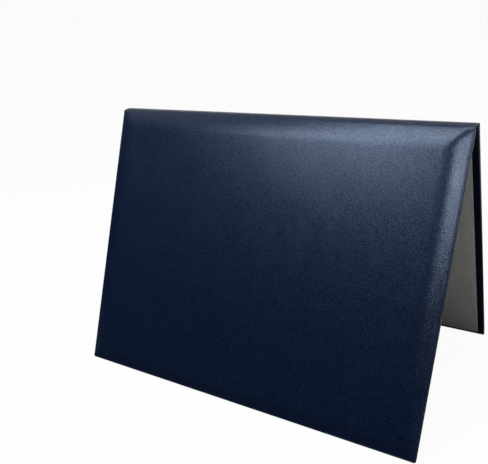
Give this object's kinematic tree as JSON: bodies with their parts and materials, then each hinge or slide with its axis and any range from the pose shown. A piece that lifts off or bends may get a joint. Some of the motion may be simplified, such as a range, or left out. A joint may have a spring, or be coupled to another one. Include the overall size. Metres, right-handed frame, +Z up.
{
  "type": "padded diploma cover",
  "caption": "Padded leatherette certificate cover that opens like a book, with white linings and corner pockets inside, standing as a tent.",
  "frame": {"origin": "on the table, at the middle of the footprint of the cover standing open as a tent", "axes": "+Z up, +X along the spine, and the padded front cover faces -Y"},
  "size_m": [0.2986, 0.1894, 0.21],
  "materials": {
    "navy_leatherette": "satin",
    "pocket_leatherette": "satin",
    "board": "matte",
    "foam": "matte",
    "liner_card": "matte",
    "white_lining": "matte"
  },
  "bodies": {
    "back_cover": {"back_wrap": "navy_leatherette", "back_board": "board", "back_hinge_strip": "navy_leatherette", "back_liner_card": "liner_card", "back_lining": "white_lining"},
    "spine": {"spine_wrap": "navy_leatherette", "spine_hinge_strip": "navy_leatherette"},
    "front_cover": {"front_wrap": "navy_leatherette", "front_board": "board", "front_foam_pad": "foam", "front_hinge_strip": "navy_leatherette", "front_liner_card": "liner_card", "front_lining": "white_lining", "pocket_spine_left": "pocket_leatherette", "pocket_spine_right": "pocket_leatherette", "pocket_edge_left": "pocket_leatherette", "pocket_edge_right": "pocket_leatherette"}
  },
  "joints": [
    {"name": "back_hinge", "type": "hinge", "parent": "spine", "child": "back_cover", "pos_m": [0, 0.0052, 0.20941], "axis": [-1, 0, 0], "range_deg": [-66.7, 23.3]},
    {"name": "front_hinge", "type": "hinge", "parent": "spine", "child": "front_cover", "pos_m": [0, -0.0052, 0.20941], "axis": [1, 0, 0], "range_deg": [-66.7, 23.3]}
  ]
}
